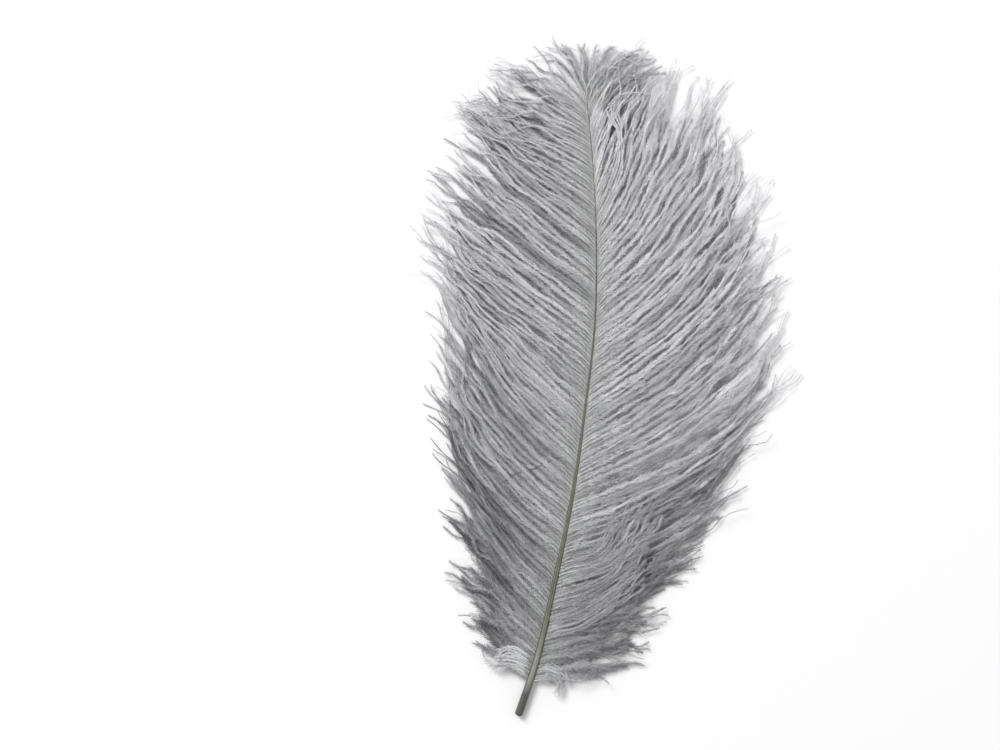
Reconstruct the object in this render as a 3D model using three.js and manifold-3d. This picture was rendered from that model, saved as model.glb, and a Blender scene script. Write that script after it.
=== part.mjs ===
// An ostrich feather lying on a surface, spread flat, with its quill towards -Y and its tip towards +Y.
// The shaft bows sideways, less so in its lower half. A vane of barbs grows on each side of it, and the
// barbs hang together in locks, so each vane is a row of overlapping tapered locks fused to the shaft.
// The whole feather grew as one piece, so it is one solid.
import * as THREE from 'three';
import { mergeVertices } from 'three/addons/utils/BufferGeometryUtils.js';
import Module from 'manifold-3d';

const wasm = await Module();
wasm.setup();

// Driving dimensions in millimetres. Angles are in degrees.
const shaftChord = 283; // from the quill's end to the shaft's tip, in a straight line
const shaftBow = 16.5; // how far the shaft bows to +X of that line
const shaftSag = 1.7; // how far its lower half lies to -X of the arc of that bow
const sagGrows = { from: 20, to: 73 }; // the places along the shaft between which that comes
const sagFades = { from: 133, to: 190 }; // and goes
const quillDiameter = 3.7;
const shaftTipDiameter = 0.6;
const shaftTaper = 2.2; // over 1: the shaft loses more of its thickness near the quill
const shaftArch = 4.6; // how much higher the shaft lies at its middle than at the quill
const shaftArchEnd = 0.85; // the part of a half wave that the arch has run through at the tip
const quillEnd = new THREE.Vector2(-19.7, -152.7); // puts the origin under the middle of the feather

const locksPerVane = 30;
const lockHalfWidth = 4.5; // at its widest
const lockHalfThickness = 1.5; // at its thickest
const lockRootShare = 0.45; // the part of its thickness that a lock has where it leaves the shaft
const lockRootDrop = 0.5; // how far below the shaft's centre a lock leaves it
const lockTipShare = 0.07; // what is left of its width and thickness at a lock's tip
const lockLanding = 0.42; // the part of its length on which a lock comes down to the surface
const lockSteepness = 1.3; // over 1: it comes down mostly beside the shaft
const lockSinking = 0.55; // how high its centre lies over the surface, as a part of its half thickness
const lockNarrowing = 0.18; // the part of its width that a lock loses evenly on its way to the tip
const lockBluntness = 0.3; // 0: it thins as fast as it narrows, 1: it stays thick longer
const lockSway = 3.2; // degrees by which neighbouring locks part
const swayTurn = 2.4; // how far the sway runs on from lock to lock, in radians
const lockUnevenness = 0.035; // the part of its length by which a lock is shorter or longer
const unevenTurn = 1.7; // how far that runs on from lock to lock, in radians

const shaftFacets = { steps: 36, corners: 10 };
const lockFacets = { steps: 6, corners: 4 };

// Each vane at stations from the quill to the tip: place along the shaft, and then for the barbs there
// their direction at the shaft, half-way and at their tips, in degrees from +Y, and their length.
const rightVane = [
  { place: 16, leaves: 84, middle: 84, ends: 84, length: 38 },
  { place: 36, leaves: 76, middle: 62, ends: 54, length: 64 },
  { place: 57, leaves: 74, middle: 58, ends: 42, length: 90 },
  { place: 77, leaves: 73, middle: 51, ends: 34, length: 108 },
  { place: 98, leaves: 69, middle: 53, ends: 28, length: 120 },
  { place: 118, leaves: 62, middle: 44, ends: 26, length: 120 },
  { place: 139, leaves: 57, middle: 41, ends: 28, length: 118 },
  { place: 160, leaves: 56, middle: 38, ends: 22, length: 114 },
  { place: 180, leaves: 50, middle: 34, ends: 14, length: 109 },
  { place: 201, leaves: 45, middle: 24, ends: 4, length: 100 },
  { place: 221, leaves: 38, middle: 11, ends: 2, length: 82 },
  { place: 242, leaves: 20, middle: 12, ends: 38, length: 60 },
  { place: 262, leaves: 25, middle: 22, ends: 54, length: 48 },
  { place: 275, leaves: 16, middle: 32, ends: 68, length: 38 },
  { place: 283, leaves: 4, middle: 38, ends: 82, length: 30 },
];
const leftVane = [
  { place: 16, leaves: 66, middle: 70, ends: 74, length: 28 },
  { place: 36, leaves: 55, middle: 50, ends: 48, length: 54 },
  { place: 57, leaves: 58, middle: 43, ends: 34, length: 80 },
  { place: 77, leaves: 64, middle: 46, ends: 34, length: 91 },
  { place: 98, leaves: 66, middle: 43, ends: 31, length: 98 },
  { place: 118, leaves: 62, middle: 43, ends: 34, length: 101 },
  { place: 139, leaves: 58, middle: 50, ends: 44, length: 99 },
  { place: 160, leaves: 61, middle: 57, ends: 53, length: 96 },
  { place: 180, leaves: 63, middle: 58, ends: 56, length: 92 },
  { place: 201, leaves: 62, middle: 57, ends: 54, length: 87 },
  { place: 221, leaves: 63, middle: 56, ends: 54, length: 79 },
  { place: 242, leaves: 67, middle: 65, ends: 64, length: 69 },
  { place: 262, leaves: 70, middle: 74, ends: 76, length: 56 },
  { place: 275, leaves: 56, middle: 66, ends: 74, length: 44 },
  { place: 283, leaves: 20, middle: 38, ends: 54, length: 28 },
];

const radians = THREE.MathUtils.degToRad;
const lerp = THREE.MathUtils.lerp;
const up = new THREE.Vector3(0, 0, 1);

// The shaft's arc: its radius, the angle of half of it and its length.
const arcRadius = shaftChord ** 2 / (8 * shaftBow) + shaftBow / 2;
const arcHalfAngle = Math.asin(shaftChord / (2 * arcRadius));
const shaftLength = 2 * arcHalfAngle * arcRadius;

// The shaft's centre at a place along it.
function shaftCentre(place) {
  const angle = place / arcRadius - arcHalfAngle;
  const arch = Math.sin((Math.PI * shaftArchEnd * place) / shaftLength);
  const grown = THREE.MathUtils.smoothstep(place, sagGrows.from, sagGrows.to);
  const faded = THREE.MathUtils.smoothstep(place, sagFades.from, sagFades.to);
  return new THREE.Vector3(
    quillEnd.x + arcRadius * (Math.cos(angle) - Math.cos(arcHalfAngle)) - shaftSag * (grown - faded),
    quillEnd.y + arcRadius * (Math.sin(angle) + Math.sin(arcHalfAngle)),
    quillDiameter / 2 + shaftArch * arch,
  );
}

function shaftHalfThickness(place) {
  const left = Math.max(1 - place / shaftLength, 0) ** shaftTaper;
  return lerp(shaftTipDiameter, quillDiameter, left) / 2;
}

// A closed solid along a line of points: a ring of corners round each, wide across and thick upwards.
function sweep(centres, halfWidths, halfThicknesses, corners) {
  const steps = centres.length - 1;
  const geometry = new THREE.CylinderGeometry(1, 1, steps, corners, steps);
  const vertices = geometry.attributes.position;
  for (let i = 0; i < vertices.count; i += 1) {
    const step = Math.round(vertices.getY(i) + steps / 2);
    const before = centres[Math.max(step - 1, 0)];
    const after = centres[Math.min(step + 1, steps)];
    const across = new THREE.Vector3().subVectors(after, before).cross(up).normalize();
    const point = centres[step].clone();
    point.addScaledVector(across, vertices.getX(i) * halfWidths[step]);
    point.addScaledVector(up, vertices.getZ(i) * halfThicknesses[step]);
    vertices.setXYZ(i, point.x, point.y, point.z);
  }
  return geometry;
}

function shaft() {
  const { steps, corners } = shaftFacets;
  const places = Array.from({ length: steps + 1 }, (_, i) => (shaftLength * i) / steps);
  const centres = places.map(shaftCentre);
  const halves = places.map(shaftHalfThickness);
  return sweep(centres, halves, halves, corners);
}

// A vane's station values at a place along the shaft.
function vaneAt(vane, place) {
  const next = Math.max(vane.findIndex((station) => station.place >= place), 1);
  const from = vane[next - 1];
  const to = vane[next];
  const share = THREE.MathUtils.clamp((place - from.place) / (to.place - from.place), 0, 1);
  const here = {};
  for (const key of ['leaves', 'middle', 'ends', 'length']) {
    here[key] = lerp(from[key], to[key], share);
  }
  return here;
}

// A barb's direction at a part of its length: one smooth turn through its three directions.
function direction({ leaves, middle, ends }, along) {
  const left = 1 - along;
  const pull = 2 * middle - (leaves + ends) / 2;
  return left ** 2 * leaves + 2 * left * along * pull + along ** 2 * ends;
}

// One lock of barbs, from inside the shaft to its tip. side is 1 on the right vane and -1 on the left.
function lock(vane, side, index) {
  const { steps, corners } = lockFacets;
  const first = vane[0].place;
  const last = vane[vane.length - 1].place;
  const place = lerp(first, last, index / (locksPerVane - 1));
  const barb = vaneAt(vane, place);
  const sway = lockSway * Math.sin(index * swayTurn + side);
  const reach = barb.length * (1 + lockUnevenness * Math.cos(index * unevenTurn - side));
  const point = shaftCentre(Math.min(place, shaftLength - 1));
  const high = point.z - lockRootDrop;
  const centres = [];
  const halfWidths = [];
  const halfThicknesses = [];
  for (let step = 0; step <= steps; step += 1) {
    const along = step / steps;
    const left = lerp(lockTipShare, 1, Math.sqrt(1 - along ** 2));
    const swelling = lerp(lockRootShare, 1, Math.min(along / lockLanding, 1));
    const halfThickness = lockHalfThickness * swelling * lerp(left, Math.sqrt(left), lockBluntness);
    const lying = lockSinking * halfThickness;
    const coming = Math.max(1 - along / lockLanding, 0) ** lockSteepness;
    point.z = lerp(lying, high, coming);
    centres.push(point.clone());
    halfWidths.push(lockHalfWidth * left * (1 - lockNarrowing * along));
    halfThicknesses.push(halfThickness);
    const turned = direction(barb, (step + 0.5) / steps) + sway * along;
    point.x += (side * Math.sin(radians(turned)) * reach) / steps;
    point.y += (Math.cos(radians(turned)) * reach) / steps;
  }
  return sweep(centres, halfWidths, halfThicknesses, corners);
}

// A geometry as a solid that can be joined and cut.
function solid(geometry) {
  geometry.deleteAttribute('normal');
  geometry.deleteAttribute('uv');
  const merged = mergeVertices(geometry);
  const mesh = new wasm.Mesh({
    numProp: 3,
    vertProperties: new Float32Array(merged.attributes.position.array),
    triVerts: new Uint32Array(merged.index.array),
  });
  return new wasm.Manifold(mesh);
}

// Everything above the surface that the feather lies on.
function aboveSurface() {
  const size = 2 * shaftChord;
  const geometry = new THREE.BoxGeometry(size, size, size);
  geometry.translate(0, 0, size / 2);
  return solid(geometry);
}

function featherGeometry() {
  let feather = solid(shaft());
  for (const [vane, side] of [[rightVane, 1], [leftVane, -1]]) {
    for (let index = 0; index < locksPerVane; index += 1) {
      feather = feather.add(solid(lock(vane, side, index)));
    }
  }
  const mesh = feather.intersect(aboveSurface()).getMesh();
  const geometry = new THREE.BufferGeometry();
  geometry.setAttribute('position', new THREE.BufferAttribute(mesh.vertProperties, 3));
  geometry.setIndex(new THREE.BufferAttribute(mesh.triVerts, 1));
  geometry.computeVertexNormals();
  return geometry;
}

const feather = new THREE.Mesh(
  featherGeometry(),
  new THREE.MeshStandardMaterial({ color: 0xb4b4b9, roughness: 0.85, metalness: 0 }),
);
feather.name = 'feather';

const group = new THREE.Group();
group.add(feather);

export default group;
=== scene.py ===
import math

import bpy
import numpy as np
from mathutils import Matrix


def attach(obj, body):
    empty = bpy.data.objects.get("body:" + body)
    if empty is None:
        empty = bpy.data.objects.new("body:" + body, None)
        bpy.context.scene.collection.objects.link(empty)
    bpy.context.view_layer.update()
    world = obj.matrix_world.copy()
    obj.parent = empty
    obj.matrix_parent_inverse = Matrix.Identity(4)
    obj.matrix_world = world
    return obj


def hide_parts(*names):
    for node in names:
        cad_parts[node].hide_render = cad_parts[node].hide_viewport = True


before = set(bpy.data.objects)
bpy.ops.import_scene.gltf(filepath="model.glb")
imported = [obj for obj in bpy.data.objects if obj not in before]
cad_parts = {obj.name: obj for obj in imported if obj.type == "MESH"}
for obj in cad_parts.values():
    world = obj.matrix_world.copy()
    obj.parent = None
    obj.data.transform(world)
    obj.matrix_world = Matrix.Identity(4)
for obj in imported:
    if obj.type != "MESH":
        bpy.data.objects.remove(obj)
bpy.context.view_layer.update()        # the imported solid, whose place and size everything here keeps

# An ostrich feather that lies on a pale floor: a grooved shaft, and two vanes of barbs that each carry
# a fringe of fine barbules. Sizes are in millimetres and angles in degrees, until a mesh is made.
mm = 0.001
random = np.random.default_rng(1204)

featherSizes = {
    "chord": 283,                 # quill end to shaft tip, in a straight line
    "bow": 16.5,                  # how far the shaft bows to +X of that line
    "sag": 1.7,                   # how far its lower half lies to -X of the arc of that bow
    "sagGrows": (20, 73),         # the places along the shaft between which that comes
    "sagFades": (133, 190),       # and goes
    "quillWidth": 3.7,
    "tipWidth": 0.6,
    "taper": 2.2,                 # over 1: the shaft loses more of its thickness near the quill
    "arch": 4.6,                  # how much higher the shaft lies at its middle than at the quill
    "archEnd": 0.85,              # the part of a half wave that the arch has run through at the tip
    "quillEnd": (-19.7, -152.7),  # puts the origin under the middle of the feather
}

# Stations along each vane: place on the shaft, the barbs' direction from +Y where they leave it,
# half-way and at their tips, and their length.
rightVane = [
    (16, 84, 84, 84, 38), (36, 76, 62, 54, 64), (57, 74, 58, 42, 90), (77, 73, 51, 34, 108),
    (98, 69, 53, 28, 120), (118, 62, 44, 26, 120), (139, 57, 41, 28, 118), (160, 56, 38, 22, 114),
    (180, 50, 34, 14, 109), (201, 45, 24, 11, 100), (221, 38, 12, 22, 82), (242, 20, 12, 38, 60),
    (262, 25, 22, 54, 48), (275, 16, 32, 68, 38), (283, 4, 38, 82, 30),
]
leftVane = [
    (16, 66, 70, 74, 28), (36, 55, 50, 48, 54), (57, 58, 43, 34, 80), (77, 64, 46, 34, 91),
    (98, 66, 43, 31, 98), (118, 62, 43, 34, 101), (139, 58, 50, 44, 99), (160, 61, 57, 53, 96),
    (180, 63, 58, 56, 92), (201, 62, 57, 54, 87), (221, 63, 56, 54, 79), (242, 67, 65, 64, 69),
    (262, 70, 74, 76, 56), (275, 56, 66, 74, 44), (283, 20, 38, 54, 28),
]

arcRadius = featherSizes["chord"] ** 2 / (8 * featherSizes["bow"]) + featherSizes["bow"] / 2
arcHalfAngle = math.asin(featherSizes["chord"] / (2 * arcRadius))
shaftLength = 2 * arcHalfAngle * arcRadius
shaftPlaces = np.linspace(0, shaftLength, 200)   # for finding a point's place on the shaft


def smoothStep(low, high, value):
    share = np.clip((value - low) / (high - low), 0, 1)
    return share * share * (3 - 2 * share)


def shaftCentre(place):
    angle = place / arcRadius - arcHalfAngle
    startX, startY = featherSizes["quillEnd"]
    sag = smoothStep(*featherSizes["sagGrows"], place) - smoothStep(*featherSizes["sagFades"], place)
    x = startX + arcRadius * (np.cos(angle) - math.cos(arcHalfAngle)) - featherSizes["sag"] * sag
    y = startY + arcRadius * (np.sin(angle) + math.sin(arcHalfAngle))
    arch = np.sin(math.pi * featherSizes["archEnd"] * place / shaftLength)
    return np.stack([x, y, featherSizes["quillWidth"] / 2 + featherSizes["arch"] * arch], -1)


def shaftRadius(place):
    left = np.clip(1 - place / shaftLength, 0, 1) ** featherSizes["taper"]
    thin = featherSizes["tipWidth"]
    return (thin + (featherSizes["quillWidth"] - thin) * left) / 2


stageSizes = {
    "renderWidth": 1000,         # in pixels
    "renderHeight": 750,
    "pixel": 0.4516,             # what one of them spans on the feather
    "pixelHeight": 5,            # and how high over the floor it spans that
    "quillPixel": (518, 717),    # where the quill's end stands
    "chordLean": 6.24,           # how far the shaft's chord leans to the right
    "lens": 85,
    "sensor": 36,
    "clipStart": 0.01,           # in metres, as all sizes and places below
    "clipEnd": 20,
    "floorSize": 6.0,
    "floorColour": (0.835, 0.835, 0.84),
    "floorRoughness": 0.9,
    "keyPlace": (-2.6, 2.45, 3.2),
    "keySize": 2.1,
    "keyPower": 214,             # in watts
    "worldStrength": 0.62,
}


def makeCamera():
    lean = math.radians(stageSizes["chordLean"])
    across = (stageSizes["renderWidth"] / 2 - stageSizes["quillPixel"][0]) * stageSizes["pixel"]
    upward = (stageSizes["quillPixel"][1] - stageSizes["renderHeight"] / 2) * stageSizes["pixel"]
    startX, startY = featherSizes["quillEnd"]
    x = startX + across * math.cos(lean) - upward * math.sin(lean)
    y = startY + across * math.sin(lean) + upward * math.cos(lean)
    span = stageSizes["renderWidth"] * stageSizes["pixel"]
    distance = span * stageSizes["lens"] / stageSizes["sensor"]
    data = bpy.data.cameras.new("camera")
    data.lens = stageSizes["lens"]
    data.sensor_width = stageSizes["sensor"]
    data.clip_start = stageSizes["clipStart"]
    data.clip_end = stageSizes["clipEnd"]
    camera = bpy.data.objects.new("camera", data)
    camera.location = (x * mm, y * mm, (distance + stageSizes["pixelHeight"]) * mm)
    camera.rotation_euler = (0, 0, lean)
    bpy.context.collection.objects.link(camera)
    bpy.context.scene.camera = camera


def makeLight(name, place, size, power):
    # A round soft light that faces the origin.
    data = bpy.data.lights.new(name, "AREA")
    data.shape = "DISK"
    data.size = size
    data.energy = power
    lamp = bpy.data.objects.new(name, data)
    lamp.location = place
    flat = math.hypot(place[0], place[1])
    lamp.rotation_euler = (math.atan2(flat, place[2]), 0, math.atan2(place[0], -place[1]))
    bpy.context.collection.objects.link(lamp)


def makeStage():
    half = stageSizes["floorSize"] / 2
    mesh = bpy.data.meshes.new("floor")
    corners = [(-half, -half, 0), (half, -half, 0), (half, half, 0), (-half, half, 0)]
    mesh.from_pydata(corners, [], [(0, 1, 2, 3)])
    floor = bpy.data.objects.new("floor", mesh)
    bpy.context.collection.objects.link(floor)
    paper = bpy.data.materials.new("paleFloor")
    paper.use_nodes = True
    shader = paper.node_tree.nodes["Principled BSDF"]
    shader.inputs["Base Color"].default_value = (*stageSizes["floorColour"], 1)
    shader.inputs["Roughness"].default_value = stageSizes["floorRoughness"]
    mesh.materials.append(paper)
    world = bpy.data.worlds.new("softRoom")
    world.use_nodes = True
    sky = world.node_tree.nodes["Background"]
    sky.inputs["Color"].default_value = (1, 1, 1, 1)
    sky.inputs["Strength"].default_value = stageSizes["worldStrength"]
    bpy.context.scene.world = world
    bpy.context.scene.view_settings.view_transform = "Standard"
    makeLight("keyLight", stageSizes["keyPlace"], stageSizes["keySize"], stageSizes["keyPower"])


makeCamera()
makeStage()
print("camera, light and floor made")


def usable(sockets, name):
    # Some nodes hold a socket of the same name for each kind of value, with only one in use.
    return next(socket for socket in sockets if socket.name == name and socket.enabled)


def linkNodes(tree, outNode, outName, inNode, inName):
    tree.links.new(usable(outNode.outputs, outName), usable(inNode.inputs, inName))


def addNode(tree, kind, **settings):
    node = tree.nodes.new(kind)
    for key, value in settings.items():
        setattr(node, key, value)
    return node


def makeMesh(name, points, edges=(), faces=()):
    mesh = bpy.data.meshes.new(name)
    mesh.vertices.add(len(points))
    mesh.vertices.foreach_set("co", (np.asarray(points, np.float32) * mm).ravel())
    if len(edges):
        mesh.edges.add(len(edges))
        mesh.edges.foreach_set("vertices", np.asarray(edges, np.int32).ravel())
    if len(faces):
        corners = np.asarray(faces, np.int32)
        mesh.loops.add(corners.size)
        mesh.loops.foreach_set("vertex_index", corners.ravel())
        mesh.polygons.add(len(corners))
        starts = np.arange(0, corners.size, corners.shape[1], dtype=np.int32)
        mesh.polygons.foreach_set("loop_start", starts)
        mesh.update(calc_edges=True)
    mesh.update()
    mesh.validate()
    return mesh


def setValues(mesh, name, values):
    layer = mesh.attributes.new(name, "FLOAT", "POINT")
    layer.data.foreach_set("value", np.asarray(values, np.float32).ravel())


def addObject(name, mesh):
    thing = bpy.data.objects.new(name, mesh)
    bpy.context.collection.objects.link(thing)
    return thing


mottleSizes = {              # the cloudiness that barbs and shaft share
    "detail": 3.0,
    "contrast": 2.2,
}
# The barbs' colour is mixed by their tone between painted shade, deep between the strands, and a
# painted crest in the light.
barbColours = {
    "crest": (0.90, 0.90, 0.94),         # a barb that catches the light: the lit end of the painted light and shade
    "shadeBetweenStrands": (0.060, 0.060, 0.068),      # painted shade, far down between the strands
    "nearShaft": (0.50, 0.52, 0.46),     # the smooth, faintly green band beside the shaft
    "greenShare": 0.6,                   # how much of that colour shows there
    "outerShade": -0.34,                  # painted shade: how much darker a barbule's far end is, in the gaps between strands
    "lift": 0.08,                        # how much paler than their tone all barbs are
    "mottle": 0.16,                      # how cloudy they are
    "mottleScale": 420,
    "roughness": 0.62,
}
shaftColours = {
    "olive": (0.150, 0.156, 0.118),      # the shaft between the vanes
    "shadeAndTipColour": (0.060, 0.062, 0.050),       # painted shade on its sides and in its groove, and the dark of its tip
    "pale": (0.235, 0.240, 0.212),       # the clear part of the quill, under the lowest barbs
    "quill": (0.072, 0.078, 0.066),      # the dark end
    "mottle": 0.3,
    "mottleScale": 300,
    "roughness": 0.42,
}


def mathNode(tree, operation, first, second, third=None, clamp=False):
    # A sum on sockets or plain numbers, whose outcome is a socket.
    node = addNode(tree, "ShaderNodeMath", operation=operation, use_clamp=clamp)
    for socket, value in zip(node.inputs, (first, second, third)):
        if isinstance(value, (int, float)):
            socket.default_value = value
        elif value is not None:
            tree.links.new(value, socket)
    return node.outputs[0]


def mixColours(tree, share, first, second):
    node = addNode(tree, "ShaderNodeMix", data_type="RGBA")
    pairs = zip(("Factor", "A", "B"), (share, first, second))
    for name, value in pairs:
        socket = usable(node.inputs, name)
        if isinstance(value, tuple):
            socket.default_value = (*value, 1)
        elif isinstance(value, (int, float)):
            socket.default_value = value
        else:
            tree.links.new(value, socket)
    return usable(node.outputs, "Result")


def attributeValue(tree, name):
    return addNode(tree, "ShaderNodeAttribute", attribute_name=name).outputs["Fac"]


def makeMottling():
    # Shared by both finishes: a colour made cloudy, lighter and darker in small patches.
    group = bpy.data.node_groups.new("mottling", "ShaderNodeTree")
    for name, kind in (("Colour", "Color"), ("Amount", "Float"), ("Scale", "Float")):
        group.interface.new_socket(name, in_out="INPUT", socket_type="NodeSocket" + kind)
    group.interface.new_socket("Mottled", in_out="OUTPUT", socket_type="NodeSocketColor")
    start = addNode(group, "NodeGroupInput")
    end = addNode(group, "NodeGroupOutput")
    where = addNode(group, "ShaderNodeTexCoord")
    cloud = addNode(group, "ShaderNodeTexNoise")
    group.links.new(where.outputs["Object"], cloud.inputs["Vector"])
    group.links.new(start.outputs["Scale"], cloud.inputs["Scale"])
    cloud.inputs["Detail"].default_value = mottleSizes["detail"]
    centred = mathNode(group, "SUBTRACT", cloud.outputs["Fac"], 0.5)
    strong = mathNode(group, "MULTIPLY", centred, mottleSizes["contrast"])
    factor = mathNode(group, "MULTIPLY_ADD", strong, start.outputs["Amount"], 1.0)
    scaled = addNode(group, "ShaderNodeVectorMath", operation="SCALE")
    group.links.new(start.outputs["Colour"], scaled.inputs[0])
    group.links.new(factor, scaled.inputs["Scale"])
    group.links.new(scaled.outputs["Vector"], end.inputs["Mottled"])
    return group


def finishMaterial(material, colour, look):
    # Mottles the colour and hands it to the surface.
    tree = material.node_tree
    shader = tree.nodes["Principled BSDF"]
    shader.inputs["Roughness"].default_value = look["roughness"]
    mottle = addNode(tree, "ShaderNodeGroup", node_tree=mottling)
    tree.links.new(colour, mottle.inputs["Colour"])
    mottle.inputs["Amount"].default_value = look["mottle"]
    mottle.inputs["Scale"].default_value = look["mottleScale"]
    tree.links.new(mottle.outputs["Mottled"], shader.inputs["Base Color"])
    return material


def makeBarbMaterial():
    material = bpy.data.materials.new("silverBarbs")
    material.use_nodes = True
    tree = material.node_tree
    outward = attributeValue(tree, "outward")
    tone = attributeValue(tree, "tone")
    # Painted shade: a barbule is made darker towards its far end.
    shadedTone = mathNode(tree, "MULTIPLY_ADD", outward, barbColours["outerShade"], tone)
    share = mathNode(tree, "ADD", shadedTone, barbColours["lift"], clamp=True)
    silver = mixColours(tree, share, barbColours["shadeBetweenStrands"], barbColours["crest"])
    green = mathNode(tree, "MULTIPLY", attributeValue(tree, "nearShaft"), barbColours["greenShare"])
    colour = mixColours(tree, green, silver, barbColours["nearShaft"])
    return finishMaterial(material, colour, barbColours)


def makeShaftMaterial():
    material = bpy.data.materials.new("shaftHorn")
    material.use_nodes = True
    tree = material.node_tree
    colour = shaftColours["olive"]
    # shadeAndTip paints shade on the shaft's sides and in its groove, and darkens its tip.
    for name, attribute in (("pale", "clear"), ("shadeAndTipColour", "shadeAndTip"), ("quill", "dark")):
        colour = mixColours(tree, attributeValue(tree, attribute), colour, shaftColours[name])
    return finishMaterial(material, colour, shaftColours)


mottling = makeMottling()
barbMaterial = makeBarbMaterial()
shaftMaterial = makeShaftMaterial()
print("materials made")

shaftSizes = {
    "rings": 190,
    "corners": 28,
    "endRings": 8,               # on the quill's rounded end
    "rounding": 1.3,             # how far up that end reaches
    "endShare": 0.02,            # the square of the width that its very end keeps
    "grooveDepth": 0.26,         # of the radius
    "grooveWidth": 0.24,         # radians round the shaft
    "grooveGrows": (30, 60),     # the places between which the groove comes
    "grooveFades": (150, 230),   # and goes
    "sideShadeStarts": (0.5, 0.95),    # how far from its middle its sides are painted dark as shade, of the radius
    "sideShadeStrength": 0.95,
    "tipDarkens": (90, 210),     # the places between which the whole shaft turns dark
    "tipStrength": 0.75,
    "darkFades": (10, 17),       # the places between which the quill's dark end fades
    "clearFades": (24, 42),      # and the clear part above it
    "clearUneven": 0.2,
    "unevenSpan": 3,             # the length over which the dark end's edge changes
    "unevenCount": 100,
}


def tubeFaces(rings, corners):
    # The four-sided faces between neighbouring rings.
    corner = np.arange(corners)
    after = (corner + 1) % corners
    low = corners * np.arange(rings - 1)[:, None]
    high = low + corners
    return np.stack([low + corner, low + after, high + after, high + corner], -1).reshape(-1, 4)


def colourShaft(mesh, places, turn, groove, fade):
    # How dark its sides and groove are painted, as shade, how dark its tip is, and where the quill's
    # dark and clear parts lie.
    sides = smoothStep(*shaftSizes["sideShadeStarts"], np.abs(np.sin(turn)))[None]
    shadeAndTip = shaftSizes["sideShadeStrength"] * np.maximum(sides, groove[None] * fade[:, None])
    upper = smoothStep(*shaftSizes["tipDarkens"], places)[:, None]
    shadeAndTip = np.maximum(shadeAndTip, shaftSizes["tipStrength"] * upper)
    knots = shaftSizes["unevenSpan"] * np.arange(shaftSizes["unevenCount"])
    unevenness = np.interp(places, knots, random.uniform(-1, 1, len(knots)))
    dark = 1 - smoothStep(*shaftSizes["darkFades"], places + unevenness)
    clear = 1 - smoothStep(*shaftSizes["clearFades"], places)
    clear = clear * (1 - shaftSizes["clearUneven"] + shaftSizes["clearUneven"] * unevenness)
    for name, values in (("shadeAndTip", shadeAndTip), ("dark", dark[:, None]), ("clear", clear[:, None])):
        setValues(mesh, name, np.broadcast_to(values, shadeAndTip.shape))


def makeShaft():
    turned = np.linspace(0, math.pi / 2, shaftSizes["endRings"], endpoint=False)
    start = shaftSizes["rounding"] * (1 - np.cos(turned))
    rest = np.linspace(shaftSizes["rounding"], shaftLength, shaftSizes["rings"])
    places = np.concatenate([start, rest])
    centres = shaftCentre(places)
    heading = np.gradient(centres, places, axis=0)
    heading /= np.linalg.norm(heading, axis=1)[:, None]
    across = np.cross(heading, (0, 0, 1))
    across /= np.linalg.norm(across, axis=1)[:, None]
    upward = np.cross(across, heading)
    turn = np.linspace(0, 2 * math.pi, shaftSizes["corners"], endpoint=False)
    wrapped = np.minimum(turn, 2 * math.pi - turn)
    groove = np.exp(-(wrapped / shaftSizes["grooveWidth"]) ** 2)
    grown = smoothStep(*shaftSizes["grooveGrows"], places)
    fade = grown - smoothStep(*shaftSizes["grooveFades"], places)
    deep = shaftSizes["grooveDepth"] * fade
    fromEnd = np.minimum(places / shaftSizes["rounding"], 1)
    blunt = np.sqrt(np.clip(1 - (1 - fromEnd) ** 2, shaftSizes["endShare"], 1))
    radius = (shaftRadius(places) * blunt)[:, None] * (1 - deep[:, None] * groove[None])
    ring = (across[:, None] * (radius * np.sin(turn))[..., None]
            + upward[:, None] * (radius * np.cos(turn))[..., None])
    points = (centres[:, None] + ring).reshape(-1, 3)
    mesh = makeMesh("shaft", points, faces=tubeFaces(len(places), shaftSizes["corners"]))
    colourShaft(mesh, places, turn, groove, fade)
    mesh.polygons.foreach_set("use_smooth", np.ones(len(mesh.polygons), bool))
    shaft = addObject("shaft", mesh)
    mesh.materials.append(shaftMaterial)
    return shaft


shaft = makeShaft()
print("shaft made")

# Most pairs below are the two values between which something comes or goes: places along the shaft,
# distances along a barb from the shaft or, up to about 1, parts of the barb's length.
barbSizes = {                    # the course of a vane's barbs
    "hookAngle": 26,             # how much closer to the shaft a barb leaves it
    "hookLength": 4.0,
    "overrun": 1.15,             # the vane's sheet is worked out a little past its edge
    "overrunSpare": 0.02,
    "sheetGrid": (301, 161),     # at so many places along the shaft and along a barb
    "growthSteps": 400,          # the steps in which the crowding of barbs is added up
    "tipCrowds": (235, 275),     # where they grow closer together towards the tip
    "tipCrowding": 0.4,
    "placeUneven": 0.1,          # how unevenly they grow
    "points": 34,                # on each barb's line
    "pointsNear": 1.2,           # over 1: they lie closer near the shaft
    "reachUneven": (0.035, 0.035, 0.02),   # how unevenly barbs, strands and locks reach
    "tipUneven": 0.09,           # how much more unevenly locks reach at the tip
    "shortest": 0.7,
    "tip": (222, 262),           # where barbs turn as they are at the tip
    "downFades": (27, 62),       # where the soft down near the quill ends
    "strandGather": (1, 15),     # where a strand's barbs come together
    "lockGather": (0.5, 1.0),    # where a lock's strands lean together
    "nearShaft": 5,              # the width of the smooth band beside the shaft
}
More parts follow.
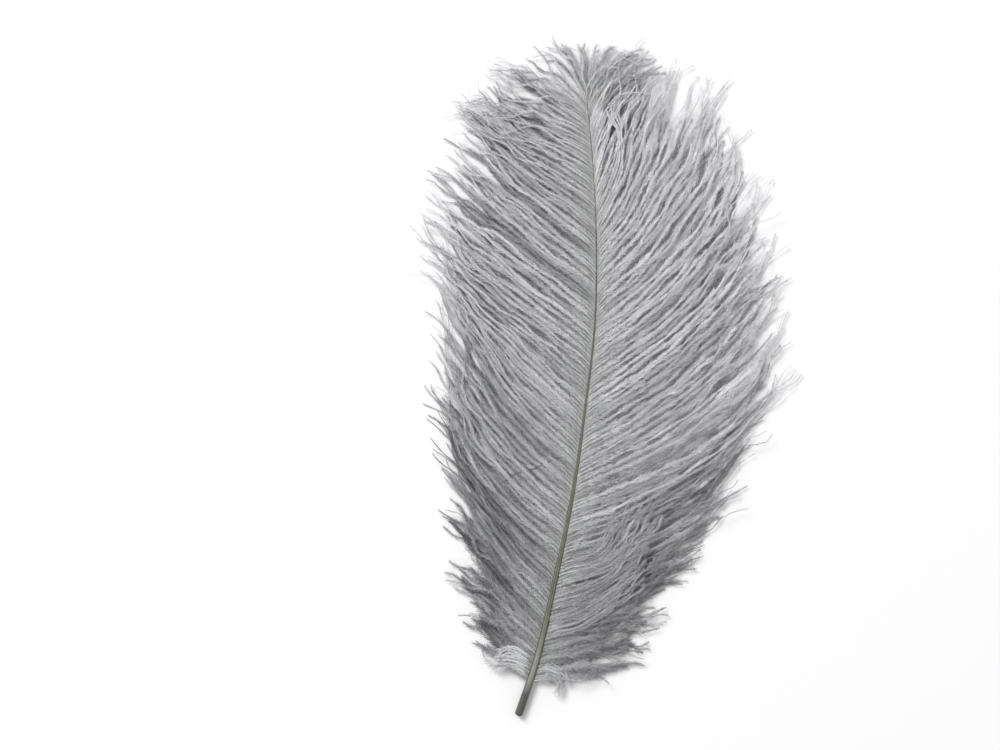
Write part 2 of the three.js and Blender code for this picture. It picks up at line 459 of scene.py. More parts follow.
wanderSizes = {                  # how far barbs stray sideways, in waves as long as the spans
    "spanLimits": (0.75, 1.35),  # how much shorter or longer each wave is
    "out": (4, 24),              # where they begin to stray
    "late": (0.35, 1.05),        # where they stray most
    "strandSpans": (58, 29),
    "strandOut": 0.5,
    "strandLate": 0.75,
    "ownSpans": (34, 15),
    "ownOut": 0.13,
    "ownLate": 0.5,
    "ownDown": 0.4,              # how much more the down does
    "lockSpans": (70,),
    "lockLate": 1.1,
    "tipMore": 1.15,             # how much more they do at the tip
    "curlLength": 26,            # the last part of a barb, which bends aside
    "curlOwn": 0.6,
    "curlStrand": 0.5,
}
heightSizes = {
    "settles": (0.0, 0.6),       # where a barb comes down from the shaft to its layer's height
    "lands": (0.55, 1.0),        # and from there to the height of its tip
    "rootRaise": 0.1,            # how far over the shaft's middle it leaves it
    "shoulder": 1.2,             # how far it rises beside the shaft
    "shoulderRises": (0, 7),
    "reliefSpans": (45, 23),
    "reliefWaves": 0.6,
    "rippleSpans": (31,),
    "ripple": 0.4,
    "strandRound": 0.25,         # how much lower the outer barbs of a strand lie
    "lowest": 0.5,               # over the floor
}
flueSizes = {                    # the barbs' own thickness, and their barbules
    "ramusAt": (0, 5, 30, 120),  # distances from the shaft
    "ramusRadius": (0.19, 0.11, 0.075, 0.045),
    "grows": (-4, 12),           # where the barbules reach their full length
    "ends": (0.72, 1.0),         # and where they get shorter again
    "endsBy": 0.65,
    "room": 0.72,                # the room between two barbs in which they reach full length
    "roomLimits": (0.68, 1.1),
    "downMore": 0.3,
    "spans": (11, 6),
    "waves": 0.14,
    "gapsOpen": (110, 185),      # where the gaps reach their full size
    "gapsDown": 0.6,             # how much smaller they are in the down
    "gapSpans": (14, 6),
    "tipLess": 0.35,             # how much shorter the barbules are at the tip
    "shortest": 0.25,
    "spreadAt": (0, 0.4, 1),     # parts of a barb's length
    "spreadAngle": (34, 24, 22), # from the barb
    "spreadDown": 9,             # how much more in the down
}
toneSizes = {                    # from 0, painted shade deep between the strands, to 1, a crest in the painted light; it also differs at random
    "strand": 0.45,
    "own": 0.6,
    "spans": (40, 16),
    "waves": 0.5,
    "quillShadeFades": (20, 150),   # where the barbs are painted darker towards the quill, as shade
    "quillShade": 0.72,         # the part of its tone that a barb loses there to that painted shade
    "quillInner": 0.5,           # the part of that which it loses close to the shaft
    "quillOuter": (8, 40),
    "tipDarker": 0.08,
    "ends": (0.65, 1.0),         # where a barb turns paler towards its tip
}
upperLayer = {
    "pitch": 1.75,               # between barbs, along the shaft
    "strands": (1, 2, 2, 2),     # barbs that hang together in one strand
    "strandPull": 0.68,
    "locks": (2, 3, 4),          # strands that lean together into one lock
    "lockPull": 0.55,
    "height": 4.2,               # over the floor, half-way along a barb
    "tipHeight": 2.0,
    "relief": 0.8,               # how unevenly the strands lie over each other
    "wander": 1.0,
    "flue": 2.5,                 # how long the barbules are
    "reach": 1.0,
    "gaps": 0.43,                # how much a strand's barbules shorten and lengthen, which opens gaps
    "gapsLow": 0.5,              # the share of that nearer the quill
    "tone": 0.64,
    "toneSpread": 0.16,
    "tipTone": 0.0,              # how much paler it is at its tips
    "until": 290,                # the place on the shaft beyond which none grow
    "curl": 4.5,                 # how far a barb's last part bends aside
}
# The lower layer's low tone paints it nearly black, as shade deep under the upper barbs; its tipTone
# takes part of that painted shade off towards its tips.
lowerLayer = dict(
    upperLayer, pitch=2.5, strands=(1, 1, 2), strandPull=0.3, lockPull=0.1, height=1.7, tipHeight=1.1,
    relief=0.3, flue=3.9, reach=0.9, gaps=0.1, tone=0.05, toneSpread=0.04, tipTone=0.22, until=282,
    curl=3.5)
rightLower = dict(lowerLayer, until=266)
rightUpper = dict(upperLayer, tone=0.8, flue=2.35, gaps=0.56, gapsLow=1.4, until=271)
leftUpper = dict(upperLayer, tone=0.61)
looseLayer = dict(
    upperLayer, pitch=9.5, strands=(1,), strandPull=0, lockPull=0, height=5.6, tipHeight=4.2,
    relief=0.6, wander=1.7, flue=2.3, reach=0.98, gaps=0.2, tone=0.72, toneSpread=0.1, curl=8.5)


def vaneSheet(stations, side):
    # Where a barb that grows at each place runs, at each part of its length.
    known, *values = np.array(stations, float).T
    rows, columns = barbSizes["sheetGrid"]
    places = np.linspace(known[0], min(known[-1], shaftLength), rows)
    along = np.linspace(0, barbSizes["overrun"], columns)
    leaves, middle, ends, length = (np.interp(places, known, value)[:, None] for value in values)
    left = 1 - along[None]
    pull = 2 * middle - (leaves + ends) / 2
    angle = left ** 2 * leaves + 2 * left * along[None] * pull + along[None] ** 2 * ends
    angle = angle - barbSizes["hookAngle"] * np.exp(-along[None] * length / barbSizes["hookLength"])
    step = length * (along[1] - along[0])
    moveX = side * np.sin(np.radians(angle)) * step
    moveY = np.cos(np.radians(angle)) * step
    root = shaftCentre(places)
    x = root[:, 0:1] + np.cumsum(moveX, 1) - moveX
    y = root[:, 1:2] + np.cumsum(moveY, 1) - moveY
    acrossX, acrossY = np.gradient(x, places, axis=0), np.gradient(y, places, axis=0)
    room = np.abs(acrossX * moveY - acrossY * moveX) / step   # between one barb and the next
    return {"places": places, "along": along, "x": x, "y": y, "room": room, "length": length[:, 0]}


def onSheet(sheet, place, along):
    # The sheet's x, y and room between its grid's lines.
    rows, columns = sheet["x"].shape
    before = 1.001               # keeps a point short of the last grid line
    row = np.clip(np.interp(place, sheet["places"], np.arange(rows)), 0, rows - before)
    column = np.clip(along / sheet["along"][1], 0, columns - before)
    r, c = row.astype(int), column.astype(int)
    fr, fc = row - r, column - c
    result = []
    for grid in (sheet["x"], sheet["y"], sheet["room"]):
        low = grid[r, c] * (1 - fc) + grid[r, c + 1] * fc
        high = grid[r + 1, c] * (1 - fc) + grid[r + 1, c + 1] * fc
        result.append(low * (1 - fr) + high * fr)
    return result


def groupsOf(count, sizes):
    # Neighbours hang together in groups of these sizes: each one's group number.
    groups = []
    while sum(groups) < count:
        groups.append(int(random.choice(sizes)))
    return np.repeat(np.arange(len(groups)), groups)[:count]


def meanOf(values, groups):
    return (np.bincount(groups, values) / np.bincount(groups))[groups]


def perGroup(groups):
    # One chance value for each group, handed to its members.
    return np.clip(random.normal(0, 1, groups.max() + 1), -2, 2)[groups]


def waves(groups, distance, spans):
    # A smooth wander of about one unit along each line, the same for a whole group.
    total = np.zeros_like(distance)
    for span in spans:
        number = groups.max() + 1
        phase = random.uniform(0, 2 * math.pi, number)[groups][:, None]
        length = (span * random.uniform(*wanderSizes["spanLimits"], number))[groups][:, None]
        total += np.sin(2 * math.pi * distance / length + phase)
    return total / math.sqrt(len(spans))


def moveAside(x, y, aside):
    # Moves each line sideways, square to its own run.
    alongX, alongY = np.gradient(x, axis=1), np.gradient(y, axis=1)
    size = np.hypot(alongX, alongY) + 1e-9
    return x - aside * alongY / size, y + aside * alongX / size


def growthPlaces(sheet, layer):
    # Where a layer's barbs grow along the shaft.
    first, last = sheet["places"][0], sheet["places"][-1]
    grid = np.linspace(first, last, barbSizes["growthSteps"])
    closer = 1 + barbSizes["tipCrowding"] * smoothStep(*barbSizes["tipCrowds"], grid)
    crowd = np.cumsum(closer) * (grid[1] - grid[0])
    crowd -= crowd[0]
    count = int(crowd[-1] / layer["pitch"])
    place = np.interp(np.linspace(0, crowd[-1], count), crowd, grid)
    place = np.clip(place + random.normal(0, barbSizes["placeUneven"], count), first, last)
    return place[place < layer["until"]]


def asideOf(barbs, layer):
    # How far each line strays sideways.
    distance, out, late = barbs["distance"], barbs["out"], barbs["late"]
    strands = wanderSizes["strandOut"] * out + wanderSizes["strandLate"] * late
    singles = wanderSizes["ownOut"] * out + wanderSizes["ownLate"] * late
    singles = singles + wanderSizes["ownDown"] * barbs["down"] * out
    aside = waves(barbs["strand"], distance, wanderSizes["strandSpans"]) * strands
    aside += waves(barbs["own"], distance, wanderSizes["ownSpans"]) * singles
    aside += waves(barbs["lock"], distance, wanderSizes["lockSpans"]) * wanderSizes["lockLate"] * late
    aside *= layer["wander"]
    aside *= 1 + wanderSizes["tipMore"] * barbs["atTip"]
    last = np.clip(1 - (1 - barbs["share"]) * barbs["length"] / wanderSizes["curlLength"], 0, 1)
    curl = wanderSizes["curlOwn"] * perGroup(barbs["own"])
    curl = curl + wanderSizes["curlStrand"] * perGroup(barbs["strand"])
    return aside + last ** 2 * layer["curl"] * curl[:, None]


def heightOf(barbs, layer):
    # From the shaft down to the layer's height, and on to the height of the tips.
    distance, along = barbs["distance"], barbs["along"]
    settle = smoothStep(*heightSizes["settles"], along)
    land = smoothStep(*heightSizes["lands"], along)
    uneven = perGroup(barbs["strand"])[:, None]
    relief = waves(barbs["strand"], distance, heightSizes["reliefSpans"])
    fluff = layer["height"] + layer["relief"] * (uneven + heightSizes["reliefWaves"] * relief)
    root = shaftCentre(barbs["place"])[:, 2:3] + heightSizes["rootRaise"]
    z = root * (1 - settle) + fluff * settle * (1 - land) + layer["tipHeight"] * land
    rise = heightSizes["shoulder"] * smoothStep(*heightSizes["shoulderRises"], distance)
    z = z + rise * (1 - settle)
    ripple = waves(barbs["own"], distance, heightSizes["rippleSpans"])
    z = z + heightSizes["ripple"] * ripple * barbs["late"]
    z = z - heightSizes["strandRound"] * barbs["offStrand"] * barbs["out"]
    return np.maximum(z, heightSizes["lowest"])


def flueOf(barbs, layer):
    # How long the barbules are.
    distance, down = barbs["distance"], barbs["down"]
    ending = 1 - flueSizes["endsBy"] * smoothStep(*flueSizes["ends"], barbs["share"])
    flue = layer["flue"] * smoothStep(*flueSizes["grows"], distance) * ending
    flue = flue * np.clip(barbs["room"] / flueSizes["room"], *flueSizes["roomLimits"])
    flue = flue * (1 + flueSizes["downMore"] * down)
    flue = flue * (1 + flueSizes["waves"] * waves(barbs["own"], distance, flueSizes["spans"]))
    opened = smoothStep(*flueSizes["gapsOpen"], barbs["place"])
    opened = layer["gapsLow"] + (1 - layer["gapsLow"]) * opened
    gaps = layer["gaps"] * opened[:, None] * (1 - flueSizes["gapsDown"] * down)
    flue = flue * (1 + gaps * waves(barbs["strand"], distance, flueSizes["gapSpans"]))
    flue = flue * (1 - flueSizes["tipLess"] * barbs["atTip"])
    return np.maximum(flue, flueSizes["shortest"])


def toneOf(barbs, layer):
    distance = barbs["distance"]
    chance = toneSizes["strand"] * perGroup(barbs["strand"])
    chance = chance + toneSizes["own"] * perGroup(barbs["own"])
    tone = layer["tone"] + layer["toneSpread"] * chance[:, None]
    clouds = waves(barbs["own"], distance, toneSizes["spans"])
    tone = tone + toneSizes["waves"] * layer["toneSpread"] * clouds
    # Painted shade: barbs turn darker towards the quill.
    nearQuill = (1 - smoothStep(*toneSizes["quillShadeFades"], barbs["place"]))[:, None]
    inner = toneSizes["quillInner"]
    outer = inner + (1 - inner) * smoothStep(*toneSizes["quillOuter"], distance)
    tone = tone - toneSizes["quillShade"] * nearQuill * outer * layer["tone"]
    tone = tone - toneSizes["tipDarker"] * barbs["atTip"]
    tone = tone + layer["tipTone"] * smoothStep(*toneSizes["ends"], barbs["along"])
    return np.clip(tone, 0, 1)


def vaneLines(stations, side, layer):
    # A layer's barbs, each a line of points that hand on what grows there.
    sheet = vaneSheet(stations, side)
    place = growthPlaces(sheet, layer)
    own = np.arange(len(place))
    strand = groupsOf(len(place), layer["strands"])
    strandPlace = meanOf(place, strand)
    lock = groupsOf(strand.max() + 1, layer["locks"])[strand]
    lockPlace = meanOf(place, lock)
    atTip = smoothStep(*barbSizes["tip"], place)
    uneven = zip(barbSizes["reachUneven"], (own, strand, lock))
    reach = layer["reach"] * sum((amount * perGroup(groups) for amount, groups in uneven), start=1)
    reach = reach + barbSizes["tipUneven"] * perGroup(lock) * atTip
    reach = np.clip(reach, barbSizes["shortest"], barbSizes["overrun"] - barbSizes["overrunSpare"])
    share = np.linspace(0, 1, barbSizes["points"])[None] ** barbSizes["pointsNear"]
    length = np.interp(place, sheet["places"], sheet["length"])[:, None]
    along = share * reach[:, None]
    distance = along * length
    gather = smoothStep(*barbSizes["strandGather"], distance) * layer["strandPull"]
    here = place[:, None] + (strandPlace - place)[:, None] * gather
    lean = (lockPlace - strandPlace)[:, None] * smoothStep(*barbSizes["lockGather"], along)
    x, y, room = onSheet(sheet, here + lean * layer["lockPull"], along)
    barbs = {
        "own": own, "strand": strand, "lock": lock, "place": place, "share": share, "length": length,
        "along": along, "distance": distance, "room": room, "atTip": atTip[:, None],
        "offStrand": np.abs(place - strandPlace)[:, None],
        "out": smoothStep(*wanderSizes["out"], distance),
        "late": smoothStep(*wanderSizes["late"], along),
        "down": 1 - smoothStep(*barbSizes["downFades"], place)[:, None],
    }
    x, y = moveAside(x, y, asideOf(barbs, layer))
    points = np.stack([x, y, heightOf(barbs, layer)], -1)
    flue = flueOf(barbs, layer)
    tone = toneOf(barbs, layer)
    ramus = np.interp(distance, flueSizes["ramusAt"], flueSizes["ramusRadius"])
    spread = np.interp(along, flueSizes["spreadAt"], flueSizes["spreadAngle"])
    spread = spread + flueSizes["spreadDown"] * barbs["down"]
    return {"points": points, "ramus": ramus, "flue": flue, "spread": spread, "tone": tone,
            "nearShaft": np.exp(-distance / barbSizes["nearShaft"]), "place": place}


# Each is a sheaf of barbs between a first and a last run, given by points from the root on. It lies as
# high as high, its tips stray by uneven, and its barbules are as long as flue, at the angle spread.
tufts = {
    "sweptClump": {          # barbs that turn up the vane and lie over their neighbours
        "first": [
            (-8.0, -76.0), (2.0, -75.6), (8.2, -71.4), (11.6, -64.0), (13.4, -56.0), (15.2, -46.0)],
        "last": [
            (-9.6, -90.0), (5.0, -86.4), (16.5, -79.6), (25.4, -70.0), (31.6, -61.0), (36.4, -51.0)],
        "count": 21, "flue": 2.6, "tone": 0.5, "high": 6.3, "spread": 22, "uneven": 3.0,
    },
    "crown": {               # short barbs round the very tip
        "first": [(-19.9, 131.3), (-23.3, 137.8), (-26.7, 143.8), (-30.5, 149.3), (-33.1, 152.7)],
        "last": [(-12.1, 130.3), (-11.0, 136.9), (-6.7, 143.7), (1.0, 149.5), (9.7, 153.1)],
        "count": 15, "flue": 2.0, "tone": 0.48, "high": 3.2, "spread": 24, "uneven": 1.6,
    },
    "rightWisps": {          # loose barbs that leave the tip to the right
        "first": [(-12.1, 118.4), (-5.2, 130.1), (3.0, 138.3), (11.4, 144.2), (19.2, 148.2)],
        "last": [(-18.8, 129.5), (-16.8, 137.0), (-12.9, 142.9), (-7.6, 147.6), (-1.1, 151.0)],
        "count": 9, "flue": 2.2, "tone": 0.5, "high": 4.2, "spread": 22, "uneven": 2.4,
    },
    "lowLeftDown": {         # pale down beside the quill, which falls outwards
        "first": [
            (-15.0, -126.5), (-19.5, -123.6), (-24.0, -122.0), (-28.5, -121.8), (-32.0, -124.5)],
        "last": [
            (-16.2, -136.0), (-20.6, -133.0), (-25.6, -131.4), (-30.0, -132.4), (-33.0, -135.0)],
        "count": 16, "flue": 2.2, "tone": 0.8, "high": 4.6, "spread": 24, "uneven": 1.2,
    },
    "lowRightDown": {
        "first": [(-13.0, -128.0), (-8.0, -127.4), (-3.5, -129.0), (-1.0, -132.5), (0.5, -137.0)],
        "last": [(-14.4, -135.6), (-9.0, -134.0), (-5.0, -134.6), (-3.0, -138.0), (-3.4, -142.0)],
        "count": 11, "flue": 2.0, "tone": 0.72, "high": 4.0, "spread": 24, "uneven": 1.0,
    },
    "brightCurl": {          # long barbs near the tip that curl over the others
        "first": [
            (-7.2, 84.0), (-4.0, 95.0), (-2.7, 104.0), (-3.4, 112.5), (-7.0, 120.0), (-10.4, 126.5)],
        "last": [
            (-4.4, 82.0), (-0.6, 95.0), (-0.2, 105.0), (-2.2, 114.0), (-4.2, 121.0), (-5.0, 128.5)],
        "count": 5, "flue": 1.5, "tone": 0.8, "high": 6.4, "spread": 20, "uneven": 1.3,
    },
    "crossingBarb": {        # one bare barb that lies across the left vane
        "first": [(-5.9, -31.0), (-13.0, -34.6), (-22.0, -38.6), (-31.0, -43.5), (-40.0, -49.0)],
        "last": [(-5.7, -30.0), (-13.0, -33.8), (-22.0, -38.2), (-31.0, -43.8), (-41.0, -50.5)],
        "count": 1, "flue": 0.8, "tone": 0.0, "high": 6.2, "spread": 30, "uneven": 0.2,
    },
    "lowSweep": {            # the barbs below the swept clump, which turn up beside it
        "first": [
            (-13.3, -98.9), (-0.3, -92.9), (10.3, -86.3), (19.4, -78.5), (27.5, -69.4), (32.9, -60.6)],
        "last": [
            (-13.6, -117.1), (1.7, -111.7), (12.3, -104.2), (19.6, -96.6), (24.2, -89.3),
            (27.9, -80.7)],
        "count": 22, "flue": 2.4, "tone": 0.47, "high": 6.2, "spread": 22, "uneven": 2.4,
    },
}


def roundedRun(corners, shares):
    # A smooth line through the corners, at each share of its length.
    corners = np.vstack([2 * corners[0] - corners[1], corners, 2 * corners[-1] - corners[-2]])
    spans = len(corners) - 3
    at = np.clip(shares * spans, 0, spans - 1e-6)
    i = at.astype(int)
    u = (at - i)[:, None]
    a, b, c, d = (corners[i + k] for k in range(4))
    bend = (2 * a - 5 * b + 4 * c - d) * u ** 2 + (3 * b - a - 3 * c + d) * u ** 3
    return 0.5 * (2 * b + (c - a) * u + bend)


tuftSizes = {
    "shareUneven": 0.3,          # how unevenly its barbs lie between the two runs
    "shortest": 0.8,             # the least part of its run that a barb has
    "free": (0, 6),              # where they begin to stray, in distances from the root
    "late": (0.3, 1.0),          # where they stray most, in parts of a barb's length
    "wanderSpans": (30, 13),
    "wander": 0.2,
    "wanderLate": 0.55,
    "rises": (0, 0.25),          # where a barb rises from the shaft's height, in parts of its length
    "rippleSpans": (22,),
    "ripple": 0.35,
    "tipDrop": 0.8,
    "ramusAt": (0, 20, 60),      # distances from the root
    "ramusRadius": (0.12, 0.08, 0.05),
    "flueGrows": (-3, 7),
    "flueSpans": (9,),
    "flueWaves": 0.2,
    "toneUneven": 0.08,
}


def tuftLines(tuft):
    t = np.linspace(0, 1, barbSizes["points"])
    rows = []
    for share in np.linspace(0, 1, tuft["count"]):
        share = share + random.normal(0, tuftSizes["shareUneven"]) / tuft["count"]
        corners = (1 - share) * np.array(tuft["first"]) + share * np.array(tuft["last"])
        rows.append(roundedRun(corners, t * random.uniform(tuftSizes["shortest"], 1)))
    flat = np.array(rows)
    own = np.arange(len(flat))
    steps = np.hypot(*np.moveaxis(np.diff(flat, axis=1), -1, 0))
    distance = np.concatenate([np.zeros((len(flat), 1)), np.cumsum(steps, 1)], 1)
    late = smoothStep(*tuftSizes["late"], t)[None]
    straying = tuftSizes["wander"] + tuftSizes["wanderLate"] * late
    aside = waves(own, distance, tuftSizes["wanderSpans"]) * straying
    aside += late ** 2 * tuft["uneven"] * perGroup(own)[:, None]
    aside *= smoothStep(*tuftSizes["free"], distance)
    x, y = moveAside(flat[..., 0], flat[..., 1], aside)
    nearest = np.interp(flat[:, 0, 1], shaftCentre(shaftPlaces)[:, 1], shaftPlaces)
    root = shaftCentre(nearest)[:, 2:3]
    z = root + smoothStep(*tuftSizes["rises"], t)[None] * (tuft["high"] - root)
    z = z + tuftSizes["ripple"] * waves(own, distance, tuftSizes["rippleSpans"])
    z = np.maximum(z - tuftSizes["tipDrop"] * late, heightSizes["lowest"])
    flue = tuft["flue"] * smoothStep(*tuftSizes["flueGrows"], distance)
    flue = flue * (1 + tuftSizes["flueWaves"] * waves(own, distance, tuftSizes["flueSpans"]))
    tone = np.clip(tuft["tone"] + tuftSizes["toneUneven"] * perGroup(own)[:, None], 0, 1)
    ramus = np.interp(distance, tuftSizes["ramusAt"], tuftSizes["ramusRadius"])
    return {"points": np.stack([x, y, z], -1), "ramus": ramus, "flue": flue,
            "spread": np.full_like(distance, tuft["spread"]),
            "tone": np.broadcast_to(tone, distance.shape),
            "nearShaft": np.exp(-distance / barbSizes["nearShaft"]), "place": own}


def joinLines(groups):
    return {key: np.concatenate([group[key] for group in groups]) for key in groups[0]}


treeSizes = {
    "tubeSides": 3,
    "barbuleWidth": 0.14,
    "belly": 0.38,               # where a barbule is widest, as a share of its length
    "bellyHeight": 0.05,         # how high it lies there and at its end, in lengths of its own
    "endHeight": -0.1,
    "rootOutward": 0.15,         # how far its near end counts as outward
    "droop": 20,
    "roll": 45,
    "spreadRange": (0.35, 1.5),  # chance turns and stretches each barbule by a factor in these ranges
    "droopRange": (-0.5, 2.0),
    "lengthRange": (0.55, 1.25),
    "rollRange": (-1.0, 1.0),
    "sideSeeds": 40,             # how far the seeds of its two sides lie from the piece's own
    "lowest": 0.05,              # over the floor, for every point
}


def makeBarbule():
    # A kite one unit long and wide, bent at its widest place, whose far end is marked as outward,
    # where the barbs' finish paints shade.
    belly, high = treeSizes["belly"], treeSizes["bellyHeight"]
    corners = [(0, 0, 0), (belly, -0.5, high), (belly, 0.5, high), (1, 0, treeSizes["endHeight"])]
    mesh = makeMesh("barbule", np.array(corners) / mm, faces=[(0, 1, 2), (1, 3, 2)])
    setValues(mesh, "outward", [treeSizes["rootOutward"], belly, belly, 1.0])
    return addObject("barbule", mesh)


def namedValue(tree, name):
    # What each point of a line hands on under this name.
    node = addNode(tree, "GeometryNodeInputNamedAttribute", data_type="FLOAT")
    node.inputs["Name"].default_value = name
    return usable(node.outputs, "Attribute")


def chanceValue(tree, start, limits, offset):
    node = addNode(tree, "FunctionNodeRandomValue", data_type="FLOAT")
    for name, limit in zip(("Min", "Max"), limits):
        usable(node.inputs, name).default_value = limit
    seed = mathNode(tree, "ADD", start.outputs["Seed"], offset)
    tree.links.new(seed, node.inputs["Seed"])
    return usable(node.outputs, "Value")


def joinAxes(tree, x, y, z):
    node = addNode(tree, "ShaderNodeCombineXYZ")
    for axis, socket in zip("XYZ", (x, y, z)):
        tree.links.new(socket, node.inputs[axis])
    return node.outputs["Vector"]


def addRamus(tree, curve):
    # A thin tube on each line.
    ring = addNode(tree, "GeometryNodeCurvePrimitiveCircle")
    ring.inputs["Resolution"].default_value = treeSizes["tubeSides"]
    ring.inputs["Radius"].default_value = 1
    tube = addNode(tree, "GeometryNodeCurveToMesh")
    linkNodes(tree, curve, "Curve", tube, "Curve")
    tree.links.new(namedValue(tree, "ramus"), tube.inputs["Scale"])
    tree.links.new(ring.outputs["Curve"], tube.inputs["Profile Curve"])
    tube.inputs["Fill Caps"].default_value = True
    return tube


def addBarbules(tree, start, points, frameTurn, source, side):
    # One barbule on each point of a line, turned away to one side.
    ranges = {
        "spread": [side * limit for limit in treeSizes["spreadRange"]],
        "droop": treeSizes["droopRange"],
        "length": treeSizes["lengthRange"],
        "roll": treeSizes["rollRange"],
    }
    chance = {}
    for number, (name, limits) in enumerate(ranges.items(), start=1):
        chance[name] = chanceValue(tree, start, limits, number + treeSizes["sideSeeds"] * side)
    roll = mathNode(tree, "MULTIPLY", start.outputs["Roll"], chance["roll"])
    droop = mathNode(tree, "MULTIPLY", start.outputs["Droop"], chance["droop"])
    spread = mathNode(tree, "MULTIPLY", namedValue(tree, "spread"), chance["spread"])
    long = mathNode(tree, "MULTIPLY", namedValue(tree, "flue"), chance["length"])
    toTurn = addNode(tree, "FunctionNodeEulerToRotation")
    tree.links.new(joinAxes(tree, roll, droop, spread), toTurn.inputs["Euler"])
    rotate = addNode(tree, "FunctionNodeRotateRotation", rotation_space="LOCAL")
    tree.links.new(frameTurn.outputs["Rotation"], rotate.inputs["Rotation"])
    tree.links.new(toTurn.outputs["Rotation"], rotate.inputs["Rotate By"])
    plant = addNode(tree, "GeometryNodeInstanceOnPoints")
    tree.links.new(points.outputs["Points"], plant.inputs["Points"])
    tree.links.new(source.outputs["Geometry"], plant.inputs["Instance"])
    tree.links.new(rotate.outputs["Rotation"], plant.inputs["Rotation"])
    tree.links.new(joinAxes(tree, long, start.outputs["Width"], long), plant.inputs["Scale"])
    return plant


def liftFromFloor(tree, grown):
    # Nothing hangs below the floor.
    where = addNode(tree, "GeometryNodeInputPosition")
    split = addNode(tree, "ShaderNodeSeparateXYZ")
    tree.links.new(where.outputs["Position"], split.inputs["Vector"])
    high = mathNode(tree, "MAXIMUM", split.outputs["Z"], treeSizes["lowest"] * mm)
    lay = addNode(tree, "GeometryNodeSetPosition")
    linkNodes(tree, grown, "Geometry", lay, "Geometry")
    lifted = joinAxes(tree, split.outputs["X"], split.outputs["Y"], high)
    tree.links.new(lifted, lay.inputs["Position"])
    return lay


def makeBarbTree():
    tree = bpy.data.node_groups.new("growBarbs", "GeometryNodeTree")
    kinds = {
        "Lines": "Geometry", "Spacing": "Float", "Width": "Float", "Droop": "Float", "Roll": "Float",
        "Seed": "Int", "Barbule": "Object", "Finish": "Material",
    }
    for name, kind in kinds.items():
        tree.interface.new_socket(name, in_out="INPUT", socket_type="NodeSocket" + kind)
    tree.interface.new_socket("Barbs", in_out="OUTPUT", socket_type="NodeSocketGeometry")
    start = addNode(tree, "NodeGroupInput")
    end = addNode(tree, "NodeGroupOutput")
    curve = addNode(tree, "GeometryNodeMeshToCurve")
    linkNodes(tree, start, "Lines", curve, "Mesh")
    join = addNode(tree, "GeometryNodeJoinGeometry")
    linkNodes(tree, addRamus(tree, curve), "Mesh", join, "Geometry")
    points = addNode(tree, "GeometryNodeCurveToPoints", mode="LENGTH")
    linkNodes(tree, curve, "Curve", points, "Curve")
    tree.links.new(start.outputs["Spacing"], points.inputs["Length"])
    frameTurn = addNode(tree, "FunctionNodeAxesToRotation", primary_axis="X", secondary_axis="Z")
    tree.links.new(points.outputs["Tangent"], frameTurn.inputs["Primary Axis"])
    frameTurn.inputs["Secondary Axis"].default_value = (0, 0, 1)
    source = addNode(tree, "GeometryNodeObjectInfo")
    tree.links.new(start.outputs["Barbule"], source.inputs["Object"])
    for side in (1, -1):
        plant = addBarbules(tree, start, points, frameTurn, source, side)
        linkNodes(tree, plant, "Instances", join, "Geometry")
    real = addNode(tree, "GeometryNodeRealizeInstances")
    linkNodes(tree, join, "Geometry", real, "Geometry")
    finish = addNode(tree, "GeometryNodeSetMaterial")
    linkNodes(tree, liftFromFloor(tree, real), "Geometry", finish, "Geometry")
    tree.links.new(start.outputs["Finish"], finish.inputs["Material"])
    linkNodes(tree, finish, "Geometry", end, "Barbs")
    return tree


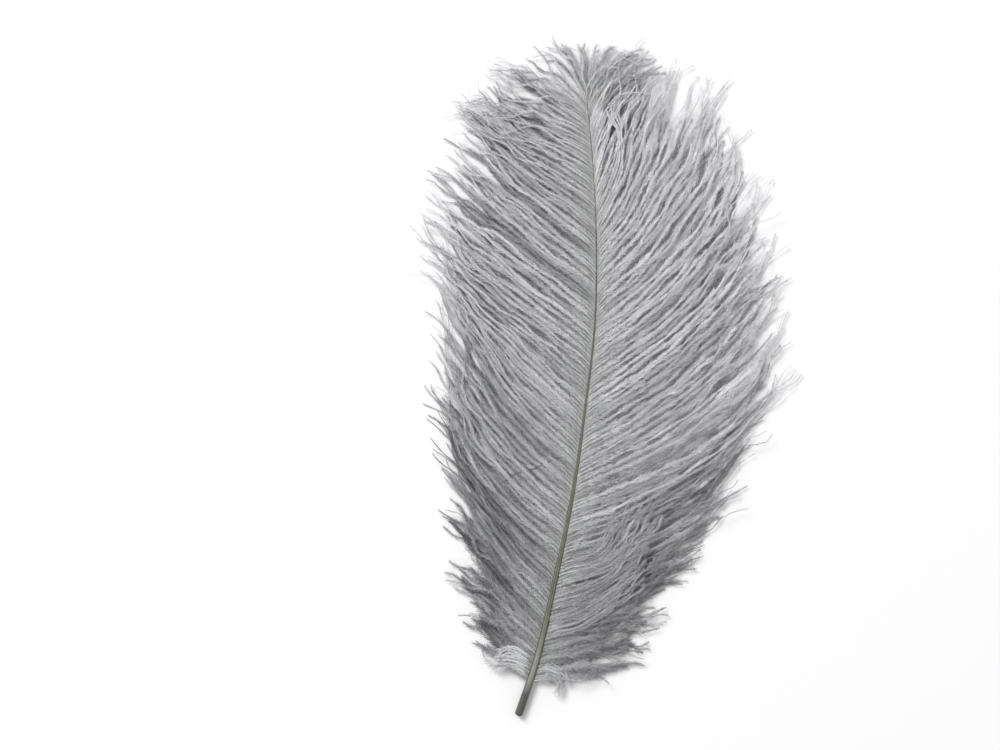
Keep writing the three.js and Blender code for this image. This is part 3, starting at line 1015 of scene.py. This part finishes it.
def growPiece(name, lines, chosen, tree, barbule, spacing, seed):
    points = lines["points"][chosen]
    count, each = points.shape[:2]
    index = np.arange(count * each).reshape(count, each)
    edges = np.stack([index[:, :-1], index[:, 1:]], -1).reshape(-1, 2)
    mesh = makeMesh(name + "Lines", points.reshape(-1, 3), edges=edges)
    factors = {"ramus": mm, "flue": mm, "spread": math.pi / 180, "tone": 1, "nearShaft": 1}
    for key, factor in factors.items():
        setValues(mesh, key, lines[key][chosen] * factor)
    bearer = addObject(name + "Lines", mesh)
    modifier = bearer.modifiers.new("growBarbs", "NODES")
    modifier.node_group = tree
    given = {
        "Spacing": spacing * mm,
        "Width": treeSizes["barbuleWidth"] * mm,
        "Droop": math.radians(treeSizes["droop"]),
        "Roll": math.radians(treeSizes["roll"]),
        "Seed": seed,
        "Barbule": barbule,
        "Finish": barbMaterial,
    }
    for socketName, value in given.items():
        modifier[tree.interface.items_tree[socketName].identifier] = value
    graph = bpy.context.evaluated_depsgraph_get()
    grown = bpy.data.meshes.new_from_object(
        bearer.evaluated_get(graph), preserve_all_data_layers=True, depsgraph=graph)
    grown.name = name
    bpy.data.objects.remove(bearer)
    piece = addObject(name, grown)
    print(name, len(grown.polygons), "faces")
    return piece


tree = makeBarbTree()
barbule = makeBarbule()
pieces = [shaft]
tuftSpacing = 0.2
seedStep = 101
growths = (    # name, stations, side, layer, the spacing of its barbules, and the pieces it makes
    ("rightVane", rightVane, 1, rightUpper, 0.2, 4),
    ("leftVane", leftVane, -1, leftUpper, 0.2, 3),
    ("rightUnderVane", rightVane, 1, rightLower, 0.45, 1),
    ("leftUnderVane", leftVane, -1, lowerLayer, 0.45, 1),
    ("rightLooseBarbs", rightVane, 1, looseLayer, 0.3, 1),
    ("leftLooseBarbs", leftVane, -1, looseLayer, 0.3, 1),
)
seed = 0
for name, stations, side, layer, spacing, parts in growths:
    lines = vaneLines(stations, side, layer)
    order = np.argsort(np.argsort(lines["place"])) * parts // len(lines["place"])
    for part in range(parts):
        seed += seedStep
        chosen = order == part
        pieces.append(growPiece(f"{name}{part + 1}", lines, chosen, tree, barbule, spacing, seed))
lines = joinLines([tuftLines(tuft) for tuft in tufts.values()])
every = np.ones(len(lines["place"]), bool)
pieces.append(growPiece("looseTufts", lines, every, tree, barbule, tuftSpacing, seed + seedStep))
bpy.data.objects.remove(barbule)
print("vanes made")

for piece in pieces:
    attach(piece, "root")
    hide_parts("feather")
